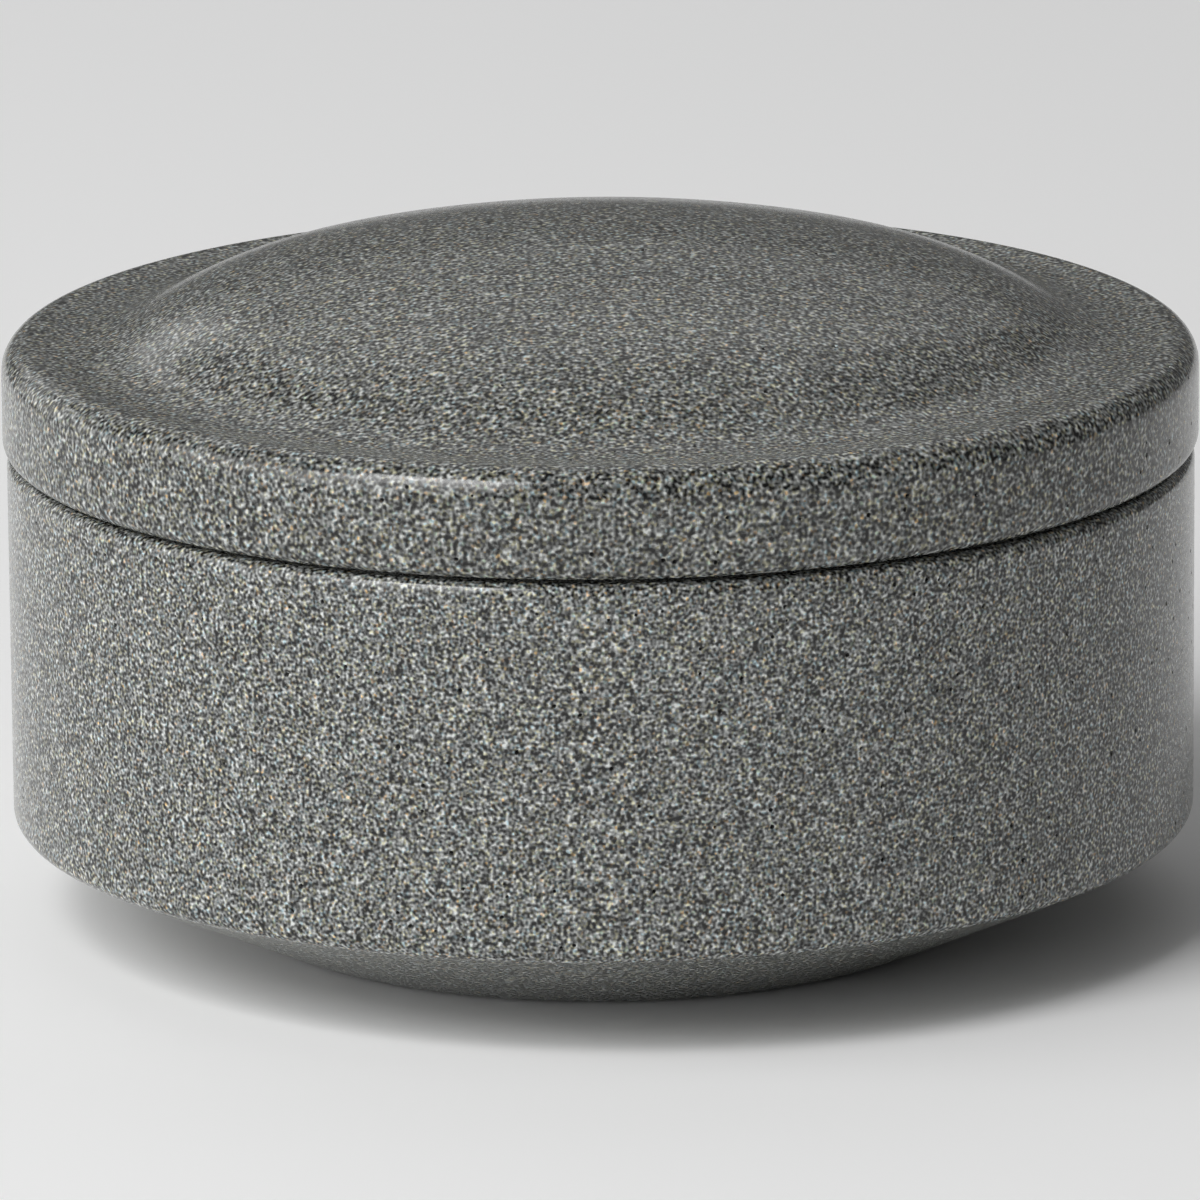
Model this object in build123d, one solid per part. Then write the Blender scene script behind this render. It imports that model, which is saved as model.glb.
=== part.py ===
from build123d import *
import os
from math import cos, radians, sin, sqrt, tan

# A round box turned from fine-grained stone. A straight-walled bowl stands on a tapered foot,
# and a domed lid rests on its rim, kept central by a spigot that drops into the mouth.
# A cork pad is let into the underside of the foot. Lengths are in millimetres. The origin is
# on the surface that the box stands on, below the axis that all pieces are turned about.

# Lid, seen from outside
lid_diameter = 150.0
lid_edge_height = 13.75         # lower edge to the upper corner, before both are rounded
lid_upper_edge_radius = 3.5
lid_lower_edge_radius = 1.6
rim_width = 8.4                 # outer edge to the middle of the groove
rim_slope = 4.5                 # degrees that the rim falls towards the groove
groove_radius = 17.5            # the hollow between the dome and the rim
shoulder_radius = 48.0          # where the dome turns down towards the groove
crown_flat_share = 0.19         # how much flatter the crown is than one arc from top to groove
dome_rise = 13.1                # upper corner of the edge to the top of the dome

# Lid, seen from below
crown_thickness = 13.0
spigot_depth = 5.0
spigot_width = 9.0
spigot_clearance = 0.75         # between the spigot and the mouth, all round
spigot_edge_radius = 1.2
dish_corner_share = 1.0         # rounding inside the spigot, as a share of its depth
shadow_gap = 0.5                # open line between the lid's edge and the bowl's rim
shadow_depth = 3.0              # how far that line goes in from the wall, to the lid's seat

# Bowl
lid_overhang = 0.5              # how far the lid stands past the wall, all round
wall_thickness = 10.0
wall_height = 46.7              # lower corner of the wall to the rim
taper_height = 13.5             # standing surface to the lower corner of the wall
rim_edge_radius = 1.5
mouth_edge_radius = 1.0
wall_corner_radius = 2.0
inner_corner_radius = 9.0
floor_thickness = 11.0

# Foot and pad
foot_diameter = 92.6
foot_ring_width = 7.0
foot_edge_radius = 0.6
pad_thickness = 2.0
pad_proud = 0.4                 # how far the pad stands out below the stone
pad_clearance = 0.6             # between the pad and the wall of its recess
pad_edge_radius = 0.3

# Heights and radii that follow
foot_underside = pad_proud
recess_roof = pad_thickness
bowl_floor = recess_roof + floor_thickness
rim_top = taper_height + wall_height
lid_lower_edge = rim_top + shadow_gap
lid_corner = lid_lower_edge + lid_edge_height
lid_top = lid_corner + dome_rise
dish_top = lid_top - crown_thickness
spigot_bottom = rim_top - spigot_depth

lid_radius = lid_diameter / 2
wall_radius = lid_radius - lid_overhang
mouth_radius = wall_radius - wall_thickness
spigot_radius = mouth_radius - spigot_clearance
dish_radius = spigot_radius - spigot_width
seat_radius = wall_radius - shadow_depth
dish_corner_radius = dish_corner_share * spigot_depth
foot_radius = foot_diameter / 2
recess_radius = foot_radius - foot_ring_width
pad_radius = recess_radius - pad_clearance


def turned(outline, corners):
    """The solid that an outline of radii and heights sweeps round the axis.

    Each corner is written as its radius from the axis, its height and the rounding it gets.
    """
    section = make_face(outline)
    for place, height, rounding in corners:
        corner = section.vertices().sort_by_distance(Vector(place, height))[0]
        section = fillet(corner, rounding)
    return revolve(Plane.XZ * section, Axis.Z)


def meeting_point(start, start_reach, end, end_reach):
    """The point at the given distances from two others, left of the way from start to end."""
    way = end - start
    along = (start_reach**2 - end_reach**2 + way.length**2) / (2 * way.length)
    aside = sqrt(start_reach**2 - along**2)
    direction = way.normalized()
    return start + direction * along + direction.rotate(Axis.Z, 90) * aside


def dome_edges():
    """The lid's upper face, from the top of the dome to the outer corner.

    Three arcs run into each other: the crown, the shoulder and the hollow of the groove.
    The sloping rim then rises from the groove to the corner.
    """
    slope = radians(rim_slope)
    groove_place = lid_radius - rim_width
    rim_height = lid_corner - rim_width * tan(slope)
    groove_centre = Vector(groove_place, rim_height + groove_radius / cos(slope))
    drop = lid_top - (groove_centre.Y - groove_radius)
    one_arc_radius = (groove_place**2 + drop**2) / (2 * drop) - groove_radius
    crown_radius = (1 + crown_flat_share) * one_arc_radius
    crown_centre = Vector(0, lid_top - crown_radius)
    shoulder_centre = meeting_point(
        crown_centre, crown_radius - shoulder_radius, groove_centre, shoulder_radius + groove_radius
    )
    crown_end = crown_centre + (shoulder_centre - crown_centre).normalized() * crown_radius
    shoulder_end = shoulder_centre + (groove_centre - shoulder_centre).normalized() * shoulder_radius
    groove_end = groove_centre + Vector(sin(slope), -cos(slope)) * groove_radius

    crown = TangentArc(Vector(0, lid_top), crown_end, tangent=(1, 0))
    shoulder = TangentArc(crown_end, shoulder_end, tangent=crown % 1)
    groove = TangentArc(shoulder_end, groove_end, tangent=shoulder % 1)
    rim = Line(groove_end, Vector(lid_radius, lid_corner))
    return [crown, shoulder, groove, rim]


def stone_lid():
    """The lid: dome and rim above, seat and spigot below, and a dish hollowed out inside."""
    dish = TangentArc(Vector(0, dish_top), Vector(dish_radius, rim_top), tangent=(1, 0))
    underside = Polyline(
        (dish_radius, rim_top),
        (dish_radius, spigot_bottom),
        (spigot_radius, spigot_bottom),
        (spigot_radius, rim_top),
        (seat_radius, rim_top),
        (seat_radius, lid_lower_edge),
        (lid_radius, lid_lower_edge),
        (lid_radius, lid_corner),
    )
    axis = Line((0, dish_top), (0, lid_top))
    corners = [
        (dish_radius, rim_top, dish_corner_radius),
        (dish_radius, spigot_bottom, spigot_edge_radius),
        (spigot_radius, spigot_bottom, spigot_edge_radius),
        (lid_radius, lid_lower_edge, lid_lower_edge_radius),
        (lid_radius, lid_corner, lid_upper_edge_radius),
    ]
    return turned([dish, *underside.edges(), *dome_edges(), axis], corners)


def stone_bowl():
    """The bowl: straight wall, tapered underside, and a foot with a recess for the pad."""
    outline = Polyline(
        (0, bowl_floor),
        (mouth_radius, bowl_floor),
        (mouth_radius, rim_top),
        (wall_radius, rim_top),
        (wall_radius, taper_height),
        (foot_radius, foot_underside),
        (recess_radius, foot_underside),
        (recess_radius, recess_roof),
        (0, recess_roof),
        close=True,
    )
    corners = [
        (mouth_radius, bowl_floor, inner_corner_radius),
        (mouth_radius, rim_top, mouth_edge_radius),
        (wall_radius, rim_top, rim_edge_radius),
        (wall_radius, taper_height, wall_corner_radius),
        (foot_radius, foot_underside, foot_edge_radius),
        (recess_radius, foot_underside, foot_edge_radius),
    ]
    return turned(outline.edges(), corners)


def cork_base_pad():
    """The pad: a thin disc glued to the roof of the recess, eased along its lower edge."""
    outline = Polyline(
        (0, 0),
        (pad_radius, 0),
        (pad_radius, pad_thickness),
        (0, pad_thickness),
        close=True,
    )
    return turned(outline.edges(), [(pad_radius, 0, pad_edge_radius)])


os.makedirs("parts", exist_ok=True)
for make in (stone_lid, stone_bowl, cork_base_pad):
    export_step(make(), f"parts/{make.__name__}.step")
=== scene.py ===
import math
import random

import bpy
from mathutils import Matrix, Vector


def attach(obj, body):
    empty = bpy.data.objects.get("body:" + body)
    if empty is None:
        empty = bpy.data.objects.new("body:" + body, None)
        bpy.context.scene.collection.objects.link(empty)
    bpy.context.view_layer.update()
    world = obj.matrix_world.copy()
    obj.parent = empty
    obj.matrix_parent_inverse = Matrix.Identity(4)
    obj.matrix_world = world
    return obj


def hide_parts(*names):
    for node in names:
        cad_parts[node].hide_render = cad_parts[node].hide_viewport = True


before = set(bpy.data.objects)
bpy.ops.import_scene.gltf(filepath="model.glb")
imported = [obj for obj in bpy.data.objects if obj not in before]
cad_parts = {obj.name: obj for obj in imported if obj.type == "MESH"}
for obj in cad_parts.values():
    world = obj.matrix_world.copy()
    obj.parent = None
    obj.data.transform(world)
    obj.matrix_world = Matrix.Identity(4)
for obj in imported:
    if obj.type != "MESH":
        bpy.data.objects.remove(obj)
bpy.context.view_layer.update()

# A round stone box with a lift-off lid. The stones and the pad are turned here as dense closed
# meshes on the outlines of the solids, with the stone's pits cut into them.
# Outlines are written in millimetres and become metres when a mesh is made.
MM = 0.001
SAME_PLACE = 1e-6               # points nearer to each other than this are one

# Lid, seen from outside
LID_RADIUS = 75.0
LID_TOP = 87.55
LID_CORNER = 74.45
LID_LOWER_EDGE = 60.7
UPPER_EDGE_ROUND = 3.5
LOWER_EDGE_ROUND = 1.6
RIM_WIDTH = 8.4
RIM_SLOPE = 4.5
GROOVE_RADIUS = 17.5
SHOULDER_RADIUS = 48.0
CROWN_RADIUS = 179.87

# Lid, seen from below
DISH_TOP = 74.55
DISH_RADIUS = 54.75
DISH_CORNER_ROUND = 5.0
SPIGOT_RADIUS = 63.75
SPIGOT_BOTTOM = 55.2
SPIGOT_ROUND = 1.2
SEAT_RADIUS = 71.5

# Bowl
RIM_TOP = 60.2
WALL_RADIUS = 74.5
MOUTH_RADIUS = 64.5
WALL_FOOT = 13.5
BOWL_FLOOR = 13.0
FOOT_RADIUS = 46.3
FOOT_UNDERSIDE = 0.4
RECESS_RADIUS = 39.3
RECESS_ROOF = 2.0
RIM_ROUND = 1.5
MOUTH_ROUND = 1.0
WALL_ROUND = 2.0
INNER_ROUND = 9.0
FOOT_ROUND = 0.6

# Pad
PAD_RADIUS = 38.7
PAD_ROUND = 0.3

# How finely the meshes are divided
ROW_STEP = 1.6
ARC_STEP = 12.0
AROUND = 288
HALVE_BELOW = 30.0
FEWEST_AROUND = 18
CREASE_ANGLE = 35.0

# Pits in the stone and the cork, with radii and depths in millimetres
PIT_SHARE = 0.05                # how many of the full-sized cells get one
PIT_RADII = (0.2, 0.38)
PIT_DEPTHS = (0.2, 0.42)
PIT_REACHES = (0.75, 1.15)      # of the uneven mouth, as shares of the radius
PIT_ROOM_SHARE = 0.42           # largest radius, as a share of the cell's shorter side
PIT_FLOOR_SHARE = 0.6           # width of the floor, as a share of the mouth's
PIT_MIDDLE_SHARE = 1.1          # depth in the middle, as a share of the floor's
PIT_SIDES = 8
REST_MARGIN = 0.1               # round faces that lie on each other and get no pits

# Granite. Grey steps are a place on the ramp and a brightness, before the tint of a stone.
GRAINS_PER_METRE = 3050.0
BLOBS_PER_METRE = 2250.0
GRAIN_WEIGHT = 0.18
GREY_STEPS = (
    (0.18, 0.004), (0.27, 0.012), (0.36, 0.050), (0.50, 0.138),
    (0.64, 0.280), (0.74, 0.45), (0.84, 0.68),
)
LID_TINT, LID_COARSENESS = (0.845, 0.87, 0.84), 1.18
BOWL_TINT, BOWL_COARSENESS = (0.97, 1.0, 0.98), 1.0
# A channel of the grain's random colour, its ramp from untinted to tinted, and the tint
GRAIN_TINTS = (
    (1, (0.74, 0.0), (0.84, 1.0), (1.08, 1.02, 0.76)),
    (2, (0.965, 0.0), (0.975, 1.0), (1.30, 0.94, 0.65)),
    (2, (0.08, 1.0), (0.11, 0.0), (0.82, 1.02, 1.12)),
)
STONE_ROUGHNESS, STONE_ROUGHNESS_SPREAD = 0.14, 0.08
STONE_BUMP, STONE_BUMP_HEIGHT = 0.025, 0.0002
# Pit floors are painted near black as shade in the pits, and are also made rough.
STONE_PIT_SHADE, STONE_PIT_ROUGHNESS = (0.006, 0.006, 0.006), 0.9

# Cork
GRANULES_PER_METRE = 420.0
CORK_FINE_PER_METRE = 2600.0
CORK_FINE_DETAIL, CORK_FINE_ROUGHNESS = 3.0, 0.6
CORK_BROWNS = (
    (0.25, (0.18, 0.09, 0.04)), (0.5, (0.42, 0.27, 0.15)), (0.8, (0.6, 0.42, 0.25)),
)
SEAM_COLOUR, SEAM_WIDTH = (0.10, 0.05, 0.025), 0.12
# Cork's pit floors are painted dark brown: the dark of its pores and painted shade.
CORK_PIT_PORE_AND_SHADE = (0.05, 0.025, 0.012)
CORK_ROUGHNESS, CORK_ROUGHNESS_SPREAD = 0.72, 0.2
CORK_BUMP, CORK_BUMP_HEIGHT = 0.5, 0.0004
CORK_FINE_RELIEF, SEAM_RELIEF = 0.4, 0.2

# The stage: a white paper floor, lamps all round and a weak, even light from everywhere.
# A lamp is written as its name, its degrees left of the camera and above the floor, its width
# and height in metres, and its radiance.
FLOOR_SIZE = 2.6
PAPER_COLOUR, PAPER_ROUGHNESS = (0.94, 0.94, 0.94, 1.0), 0.9
WORLD_STRENGTH = 0.13
LAMP_DISTANCE = 2.8
LAMP_TARGET = Vector((0.0, 0.0, 0.05))
LAMPS = (
    ("key_high", 40.0, 53.0, 1.19, 0.69, 9.9),
    ("key", 40.0, 37.0, 1.60, 0.89, 5.2),
    ("key_low", 40.0, 19.0, 1.92, 0.69, 2.2),
    ("left_low", 50.0, 7.0, 2.02, 0.59, 2.0),
    ("left_mid", 80.0, 29.5, 1.76, 1.55, 2.1),
    ("left_side", 95.0, 9.5, 2.57, 0.84, 1.2),
    ("left_back", 134.0, 13.5, 1.36, 1.24, 0.8),
    ("back_glow", 157.5, 21.0, 0.36, 0.44, 0.45),
    ("back_glow_wide", 156.5, 21.0, 0.68, 0.80, 0.33),
    ("back_mid", 180.0, 27.0, 1.95, 0.99, 0.19),
    ("overhead", 177.0, 54.0, 1.88, 1.82, 0.32),
    ("overhead_wide", 176.0, 52.5, 3.29, 2.32, 0.17),
    ("right_high", -122.0, 55.0, 1.28, 0.99, 0.25),
)

# The camera, set up for a square picture
CAMERA_UP = 14.07
CAMERA_DISTANCE = 1.55
CAMERA_ROLL = -0.474
CAMERA_AIM = Vector((-0.000245, 0.0, 0.03976))
CAMERA_SENSOR = 36.0
CAMERA_LENS = 369.15
CAMERA_CLIP_END = 50.0


def arc(centre, radius, start, end):
    """Points along an arc, ends included. Angles are in degrees, from outward towards upward."""
    length = math.radians(abs(end - start)) * radius
    steps = max(2, math.ceil(abs(end - start) / ARC_STEP), math.ceil(length / ROW_STEP))
    points = []
    for k in range(steps + 1):
        angle = math.radians(start + (end - start) * k / steps)
        points.append((centre[0] + radius * math.cos(angle), centre[1] + radius * math.sin(angle)))
    return points


def heading(start, end):
    """The angle in degrees of the way from one point to another."""
    return math.degrees(math.atan2(end[1] - start[1], end[0] - start[0]))


def joined(*runs):
    """One outline from several runs of points, with straight stretches divided into rows."""
    outline = []
    for point in (p for run in runs for p in run):
        if outline:
            last = outline[-1]
            gap = math.dist(last, point)
            if gap < SAME_PLACE:
                continue
            steps = math.ceil(gap / ROW_STEP - SAME_PLACE)
            for k in range(1, steps):
                share = k / steps
                outline.append(tuple(a + (b - a) * share for a, b in zip(last, point)))
        outline.append(point)
    return outline


def rounded(corners):
    """A run through corners written as radius, height and rounding."""
    run = []
    for k, (r, z, rounding) in enumerate(corners):
        if not rounding:
            run.append((r, z))
            continue
        before = heading(corners[k - 1], (r, z))
        after = heading((r, z), corners[k + 1])
        turn = (after - before + 180) % 360 - 180
        side = math.copysign(90, turn)
        reach = rounding * math.tan(math.radians(abs(turn) / 2))
        start_angle = math.radians(before)
        start = (r - reach * math.cos(start_angle), z - reach * math.sin(start_angle))
        inward = math.radians(before + side)
        centre = (start[0] + rounding * math.cos(inward), start[1] + rounding * math.sin(inward))
        run += arc(centre, rounding, before - side, before - side + turn)
    return run


def meeting_point(start, start_reach, end, end_reach):
    """The point at the given distances from two others, left of the way from start to end."""
    way = Vector(end) - Vector(start)
    along = (start_reach**2 - end_reach**2 + way.length**2) / (2 * way.length)
    aside = math.sqrt(start_reach**2 - along**2)
    unit = way.normalized()
    return tuple(Vector(start) + unit * along + Vector((-unit.y, unit.x)) * aside)


def lid_outline():
    """From the top of the dome over the rim, down the edge and in along the underside."""
    slope = math.radians(RIM_SLOPE)
    groove_place = LID_RADIUS - RIM_WIDTH
    rim_height = LID_CORNER - RIM_WIDTH * math.tan(slope)
    crown = (0.0, LID_TOP - CROWN_RADIUS)
    groove = (groove_place, rim_height + GROOVE_RADIUS / math.cos(slope))
    shoulder = meeting_point(
        crown, CROWN_RADIUS - SHOULDER_RADIUS, groove, SHOULDER_RADIUS + GROOVE_RADIUS
    )
    crown_end = heading(crown, shoulder)
    shoulder_end = heading(shoulder, groove)
    dome = joined(
        arc(crown, CROWN_RADIUS, 90, crown_end),
        arc(shoulder, SHOULDER_RADIUS, crown_end, shoulder_end),
        arc(groove, GROOVE_RADIUS, shoulder_end + 180, 270 + RIM_SLOPE),
    )
    edge = rounded([
        (*dome[-1], 0),
        (LID_RADIUS, LID_CORNER, UPPER_EDGE_ROUND),
        (LID_RADIUS, LID_LOWER_EDGE, LOWER_EDGE_ROUND),
        (SEAT_RADIUS, LID_LOWER_EDGE, 0),
        (SEAT_RADIUS, RIM_TOP, 0),
        (SPIGOT_RADIUS, RIM_TOP, 0),
        (SPIGOT_RADIUS, SPIGOT_BOTTOM, SPIGOT_ROUND),
        (DISH_RADIUS, SPIGOT_BOTTOM, SPIGOT_ROUND),
        (DISH_RADIUS, RIM_TOP, 0),
    ])[:-1]
    rise = DISH_TOP - RIM_TOP
    dish_arc = (DISH_RADIUS**2 + rise**2) / (2 * rise)
    dish = (0.0, DISH_TOP - dish_arc)
    corner_place = DISH_RADIUS - DISH_CORNER_ROUND
    corner_reach = dish_arc - DISH_CORNER_ROUND
    corner = (corner_place, dish[1] + math.sqrt(corner_reach**2 - corner_place**2))
    corner_end = heading(dish, corner)
    return joined(
        dome,
        edge,
        arc(corner, DISH_CORNER_ROUND, 0, corner_end),
        arc(dish, dish_arc, corner_end, 90),
    )


def bowl_outline():
    """From the middle of the floor up the inside, over the rim, down the wall, under the foot."""
    return joined(rounded([
        (0.0, BOWL_FLOOR, 0),
        (MOUTH_RADIUS, BOWL_FLOOR, INNER_ROUND),
        (MOUTH_RADIUS, RIM_TOP, MOUTH_ROUND),
        (WALL_RADIUS, RIM_TOP, RIM_ROUND),
        (WALL_RADIUS, WALL_FOOT, WALL_ROUND),
        (FOOT_RADIUS, FOOT_UNDERSIDE, FOOT_ROUND),
        (RECESS_RADIUS, FOOT_UNDERSIDE, FOOT_ROUND),
        (RECESS_RADIUS, RECESS_ROOF, 0),
        (0.0, RECESS_ROOF, 0),
    ]))


def pad_outline():
    """From the middle of the pad's top over its edge to the middle of its underside."""
    return joined(rounded([
        (0.0, RECESS_ROOF, 0),
        (PAD_RADIUS, RECESS_ROOF, 0),
        (PAD_RADIUS, 0.0, PAD_ROUND),
        (0.0, 0.0, 0),
    ]))


def parts_around(radius):
    """How many parts a ring of this radius is divided into."""
    parts, limit = AROUND, HALVE_BELOW
    while radius < limit and parts > FEWEST_AROUND:
        parts //= 2
        limit /= 2
    return parts


def linked(name, data):
    """A new object in the scene."""
    made = bpy.data.objects.new(name, data)
    bpy.context.scene.collection.objects.link(made)
    return made


class Turning:
    """Collects the vertices and faces of one turned piece."""

    def __init__(self, outline, seed, bare=()):
        self.outline = outline
        self.bare = bare
        self.chance = random.Random(seed)
        self.verts, self.faces, self.pit, self.creases = [], [], [], set()
        self.rings = [self.ring(r, z) for r, z in outline]
        for k in range(len(outline) - 1):
            self.band(k)
        self.crease_rings()

    def vert(self, r, z, angle, pit=0.0):
        self.verts.append((r * math.cos(angle) * MM, r * math.sin(angle) * MM, z * MM))
        self.pit.append(pit)
        return len(self.verts) - 1

    def ring(self, r, z):
        if r < SAME_PLACE:
            return [self.vert(0.0, z, 0.0)]
        parts = parts_around(r)
        return [self.vert(r, z, math.tau * k / parts) for k in range(parts)]

    def band(self, k):
        """The faces between one ring and the next one along the outline."""
        here, there = self.rings[k], self.rings[k + 1]
        n, m = len(here), len(there)
        if n == m:
            for j in range(n):
                self.cell(k, j)
        elif n == 1:
            self.faces += [(here[0], there[j], there[(j + 1) % m]) for j in range(m)]
        elif m == 1:
            self.faces += [(here[j], there[0], here[(j + 1) % n]) for j in range(n)]
        elif n == 2 * m:
            for j in range(m):
                a, b, c = here[2 * j], here[2 * j + 1], here[(2 * j + 2) % n]
                d, e = there[j], there[(j + 1) % m]
                self.faces += [(a, d, b), (b, d, e), (b, e, c)]
        else:
            for j in range(n):
                a, b, c = there[2 * j], there[2 * j + 1], there[(2 * j + 2) % m]
                d, e = here[j], here[(j + 1) % n]
                self.faces += [(d, a, b), (d, b, e), (e, b, c)]

    def cell(self, k, j):
        """One quad of a band, sometimes with a pit in it."""
        here, there = self.rings[k], self.rings[k + 1]
        n = len(here)
        corners = (here[j], there[j], there[(j + 1) % n], here[(j + 1) % n])
        (r0, z0), (r1, z1) = self.outline[k], self.outline[k + 1]
        length = math.dist((r0, z0), (r1, z1))
        width = math.tau * (r0 + r1) / 2 / n
        room = PIT_ROOM_SHARE * min(length, width)
        lucky = self.chance.random() < PIT_SHARE * length * width / ROW_STEP**2
        if not lucky or room < PIT_RADII[0] or self.is_bare(r0, z0, r1, z1):
            self.faces.append(corners)
            return
        self.sink(corners, (r0, z0), (r1, z1), j, n, length, width, room)

    def is_bare(self, r0, z0, r1, z1):
        r, z = (r0 + r1) / 2, (z0 + z1) / 2
        return any(a <= r <= b and c <= z <= d for a, b, c, d in self.bare)

    def sink(self, corners, start, end, j, n, length, width, room):
        """Puts a pit in a cell: an uneven mouth with a sharp edge, a wall and a floor.

        Two corners of the mouth go with each corner of the cell, so the mouth has eight.
        """
        chance = self.chance
        radius = min(chance.uniform(*PIT_RADII), room)
        depth = chance.uniform(*PIT_DEPTHS) * radius / PIT_RADII[1]
        spare_along = max(0.0, 0.5 - PIT_REACHES[1] * radius / length)
        spare_around = max(0.0, 0.5 - PIT_REACHES[1] * radius / width)
        s0 = 0.5 + chance.uniform(-spare_along, spare_along)
        t0 = 0.5 + chance.uniform(-spare_around, spare_around)
        along = ((end[0] - start[0]) / length, (end[1] - start[1]) / length)
        out = (-along[1], along[0])

        def place(reach, angle, sunk, pit):
            s = s0 + reach * math.cos(angle) / length
            t = t0 + reach * math.sin(angle) / width
            r = start[0] + (end[0] - start[0]) * s - out[0] * sunk
            z = start[1] + (end[1] - start[1]) * s - out[1] * sunk
            return self.vert(r, z, math.tau * (j + t) / n, pit)

        turns = [math.tau * (k + 0.5) / PIT_SIDES for k in range(PIT_SIDES)]
        reaches = [radius * chance.uniform(*PIT_REACHES) for _ in turns]
        mouth = [place(reach, angle, 0.0, 0.0) for reach, angle in zip(reaches, turns)]
        floor = [
            place(reach * PIT_FLOOR_SHARE, angle, depth, 1.0)
            for reach, angle in zip(reaches, turns)
        ]
        middle = place(0.0, 0.0, depth * PIT_MIDDLE_SHARE, 1.0)
        a, b, c, d = corners
        m = mouth
        self.faces += [
            (a, b, m[6], m[5]), (b, c, m[0], m[7]), (c, d, m[2], m[1]), (d, a, m[4], m[3]),
            (a, m[5], m[4]), (b, m[7], m[6]), (c, m[1], m[0]), (d, m[3], m[2]),
        ]
        for k in range(PIT_SIDES):
            after = (k + 1) % PIT_SIDES
            self.faces.append((m[k], m[after], floor[after], floor[k]))
            self.faces.append((floor[k], floor[after], middle))
            self.creases.add(frozenset((m[k], m[after])))

    def crease_rings(self):
        """Marks the rings where the outline turns sharply, so that they shade as edges."""
        for k in range(1, len(self.outline) - 1):
            before = heading(self.outline[k - 1], self.outline[k])
            after = heading(self.outline[k], self.outline[k + 1])
            if abs((after - before + 180) % 360 - 180) > CREASE_ANGLE:
                ring = self.rings[k]
                for j in range(len(ring)):
                    self.creases.add(frozenset((ring[j], ring[(j + 1) % len(ring)])))

    def make(self, name, material):
        mesh = bpy.data.meshes.new(name)
        mesh.from_pydata(self.verts, [], self.faces)
        # The pit attribute marks the pit floors, where the materials paint shade.
        mesh.attributes.new("pit", "FLOAT", "POINT").data.foreach_set("value", self.pit)
        mesh.shade_smooth()
        sharp = [frozenset(e.vertices) in self.creases for e in mesh.edges]
        mesh.attributes.new("sharp_edge", "BOOLEAN", "EDGE").data.foreach_set("value", sharp)
        mesh.update()
        mesh.validate()
        mesh.materials.append(material)
        return linked(name, mesh)


class Nodes:
    """Builds a material's nodes with short calls."""

    def __init__(self, name):
        self.material = bpy.data.materials.new(name)
        self.material.use_nodes = True
        self.tree = self.material.node_tree
        self.shader = self.tree.nodes["Principled BSDF"]
        self.place = self.add("ShaderNodeTexCoord").outputs["Object"]

    def add(self, kind, **settings):
        node = self.tree.nodes.new(kind)
        for key, value in settings.items():
            setattr(node, key, value)
        return node

    def link(self, source, target):
        if isinstance(source, bpy.types.NodeSocket):
            self.tree.links.new(source, target)
        else:
            target.default_value = source

    def surface(self, socket, value):
        self.link(value, self.shader.inputs[socket])

    def noise(self, scale, detail=0.0, roughness=0.5):
        node = self.add("ShaderNodeTexNoise")
        self.link(self.place, node.inputs["Vector"])
        node.inputs["Scale"].default_value = scale
        node.inputs["Detail"].default_value = detail
        node.inputs["Roughness"].default_value = roughness
        return node.outputs["Fac"]

    def grains(self, scale, feature="F1"):
        node = self.add("ShaderNodeTexVoronoi", feature=feature)
        self.link(self.place, node.inputs["Vector"])
        node.inputs["Scale"].default_value = scale
        return node

    def parts(self, colour):
        node = self.add("ShaderNodeSeparateColor")
        self.link(colour, node.inputs[0])
        return node.outputs

    def sums(self, operation, a, b=0.0, c=0.0):
        node = self.add("ShaderNodeMath", operation=operation)
        for value, socket in zip((a, b, c), node.inputs):
            self.link(value, socket)
        return node.outputs[0]

    def ramp(self, value, *stops):
        node = self.add("ShaderNodeValToRGB")
        elements = node.color_ramp.elements
        while len(elements) < len(stops):
            elements.new(0.5)
        for element, (position, colour) in zip(elements, stops):
            element.position = position
            element.color = (*colour, 1.0) if isinstance(colour, tuple) else (colour,) * 3 + (1.0,)
        self.link(value, node.inputs[0])
        return node.outputs[0]

    def mix(self, share, a, b, blend="MIX"):
        """Mixes two colours, which are inputs 6 and 7 of the node, with output 2."""
        node = self.add("ShaderNodeMix", data_type="RGBA", blend_type=blend)
        for value, socket in ((share, node.inputs[0]), (a, node.inputs[6]), (b, node.inputs[7])):
            if isinstance(value, tuple):
                value = (*value, 1.0)
            self.link(value, socket)
        return node.outputs[2]

    def attribute(self, name):
        return self.add("ShaderNodeAttribute", attribute_name=name).outputs["Fac"]

    def bump(self, height, strength, distance):
        node = self.add("ShaderNodeBump")
        node.inputs["Strength"].default_value = strength
        node.inputs["Distance"].default_value = distance
        self.link(height, node.inputs["Height"])
        self.surface("Normal", node.outputs[0])


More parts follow.
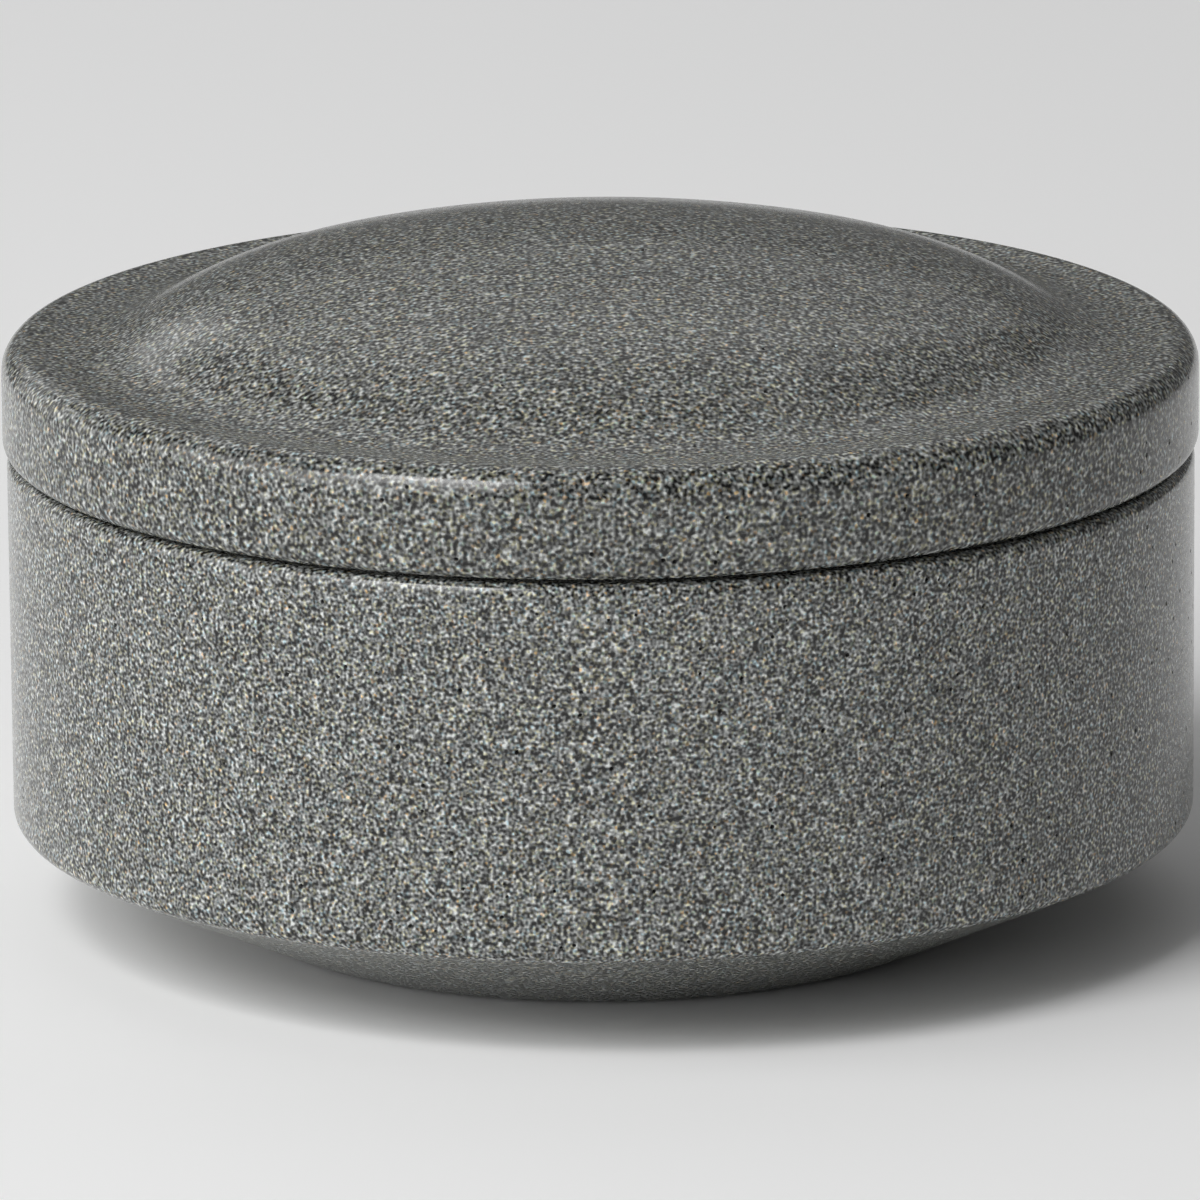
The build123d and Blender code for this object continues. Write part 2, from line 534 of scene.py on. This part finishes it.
def granite(name, tint, coarseness):
    """Fine grey granite: grains of many greys, a few coloured ones, and pit floors painted near
    black as shade.
    """
    n = Nodes(name)
    colours = n.parts(n.grains(GRAINS_PER_METRE / coarseness).outputs["Color"])
    blobs = n.noise(BLOBS_PER_METRE / coarseness)
    centred = n.sums("SUBTRACT", blobs, GRAIN_WEIGHT / 2)
    mixed = n.sums("MULTIPLY_ADD", colours[0], GRAIN_WEIGHT, centred)
    steps = ((step, tuple(share * grey for share in tint)) for step, grey in GREY_STEPS)
    colour = n.ramp(mixed, *steps)
    for channel, untinted, tinted, grain_tint in GRAIN_TINTS:
        share = n.ramp(colours[channel], untinted, tinted)
        colour = n.mix(share, colour, n.mix(1.0, colour, grain_tint, "MULTIPLY"))
    # Painted shade: the pit floors are painted near black.
    pit = n.attribute("pit")
    n.surface("Base Color", n.mix(pit, colour, STONE_PIT_SHADE))
    rough = n.sums("MULTIPLY_ADD", colours[0], STONE_ROUGHNESS_SPREAD, STONE_ROUGHNESS)
    pit_rough = n.sums("MULTIPLY", pit, STONE_PIT_ROUGHNESS)
    n.surface("Roughness", n.sums("MAXIMUM", rough, pit_rough))
    n.bump(mixed, STONE_BUMP, STONE_BUMP_HEIGHT)
    return n.material


def cork():
    """Pressed cork: brown granules with dark seams between them, and pit floors painted dark
    brown, for the dark of its pores and for painted shade.
    """
    n = Nodes("pressed_cork")
    colours = n.parts(n.grains(GRANULES_PER_METRE).outputs["Color"])
    edges = n.grains(GRANULES_PER_METRE, "DISTANCE_TO_EDGE").outputs["Distance"]
    fine = n.noise(CORK_FINE_PER_METRE, CORK_FINE_DETAIL, CORK_FINE_ROUGHNESS)
    tone = n.sums("MULTIPLY_ADD", fine, 0.5, n.sums("MULTIPLY", colours[0], 0.5))
    granule = n.ramp(tone, *CORK_BROWNS)
    inside = n.ramp(edges, (0.0, 0.0), (SEAM_WIDTH, 1.0))
    brown = n.mix(inside, SEAM_COLOUR, granule)
    # The pit floors are painted dark brown: the pores' own dark and painted shade.
    n.surface("Base Color", n.mix(n.attribute("pit"), brown, CORK_PIT_PORE_AND_SHADE))
    n.surface("Roughness", n.sums("MULTIPLY_ADD", fine, CORK_ROUGHNESS_SPREAD, CORK_ROUGHNESS))
    relief = n.sums("MULTIPLY_ADD", fine, CORK_FINE_RELIEF, n.sums("MINIMUM", edges, SEAM_RELIEF))
    n.bump(relief, CORK_BUMP, CORK_BUMP_HEIGHT)
    return n.material


def white_paper():
    """Matt white paper."""
    n = Nodes("white_paper")
    n.surface("Base Color", PAPER_COLOUR)
    n.surface("Roughness", PAPER_ROUGHNESS)
    n.surface("Specular IOR Level", 0.0)
    return n.material


def from_angles(left, up, distance):
    """A place seen from the object, in degrees left of the camera and above the floor."""
    a, e = math.radians(left), math.radians(up)
    return Vector((-math.sin(a) * math.cos(e), -math.cos(a) * math.cos(e), math.sin(e))) * distance


def lamp(name, left, up, width, height, radiance):
    """A soft lamp that faces the object."""
    data = bpy.data.lights.new(name, "AREA")
    data.shape = "RECTANGLE"
    data.size, data.size_y = width, height
    data.energy = radiance * math.pi * width * height
    made = linked(name, data)
    made.location = LAMP_TARGET + from_angles(left, up, LAMP_DISTANCE)
    made.rotation_euler = (LAMP_TARGET - made.location).to_track_quat("-Z", "Y").to_euler()


def paper_floor():
    """A square of paper that the object stands on."""
    mesh = bpy.data.meshes.new("floor")
    half = FLOOR_SIZE / 2
    corners = [(-half, -half, 0), (half, -half, 0), (half, half, 0), (-half, half, 0)]
    mesh.from_pydata(corners, [], [(0, 1, 2, 3)])
    mesh.materials.append(white_paper())
    return linked("floor", mesh)


# The pieces. Faces that lie on each other get no pits. Where they lie is written as the least
# and largest radius, then the least and largest height.
lid_rest = (
    SPIGOT_RADIUS - REST_MARGIN, SEAT_RADIUS + REST_MARGIN,
    RIM_TOP - REST_MARGIN, LID_LOWER_EDGE + REST_MARGIN,
)
bowl_rest = (MOUTH_RADIUS, SEAT_RADIUS + REST_MARGIN, RIM_TOP - REST_MARGIN, RIM_TOP + REST_MARGIN)
pad_roof = (0.0, RECESS_RADIUS + REST_MARGIN, RECESS_ROOF - REST_MARGIN, RECESS_ROOF + REST_MARGIN)

lid_stone = granite("granite_lid", LID_TINT, LID_COARSENESS)
lid = Turning(lid_outline(), seed=11, bare=[lid_rest]).make("turned_lid", lid_stone)
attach(lid, "lid")
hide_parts("stone_lid")

bowl_stone = granite("granite_bowl", BOWL_TINT, BOWL_COARSENESS)
bowl = Turning(bowl_outline(), seed=23, bare=[bowl_rest, pad_roof]).make("turned_bowl", bowl_stone)
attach(bowl, "box")
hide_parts("stone_bowl")

pad = Turning(pad_outline(), seed=37, bare=[pad_roof]).make("cork_disc", cork())
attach(pad, "box")
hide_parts("cork_base_pad")

# The stage and the light
floor = paper_floor()
for row in LAMPS:
    lamp(*row)

world = bpy.data.worlds.new("studio")
bpy.context.scene.world = world
world.use_nodes = True
world.node_tree.nodes["Background"].inputs["Color"].default_value = (1, 1, 1, 1)
world.node_tree.nodes["Background"].inputs["Strength"].default_value = WORLD_STRENGTH

# The camera
camera_data = bpy.data.cameras.new("camera")
camera_data.sensor_width = CAMERA_SENSOR
camera_data.lens = CAMERA_LENS
camera_data.clip_end = CAMERA_CLIP_END
camera = linked("camera", camera_data)
camera.location = CAMERA_AIM + from_angles(0.0, CAMERA_UP, CAMERA_DISTANCE)
looking = (CAMERA_AIM - camera.location).to_track_quat("-Z", "Y").to_matrix().to_4x4()
rolled = looking @ Matrix.Rotation(math.radians(CAMERA_ROLL), 4, "Z")
camera.rotation_euler = rolled.to_euler()
bpy.context.scene.camera = camera
bpy.context.scene.view_settings.view_transform = "Standard"
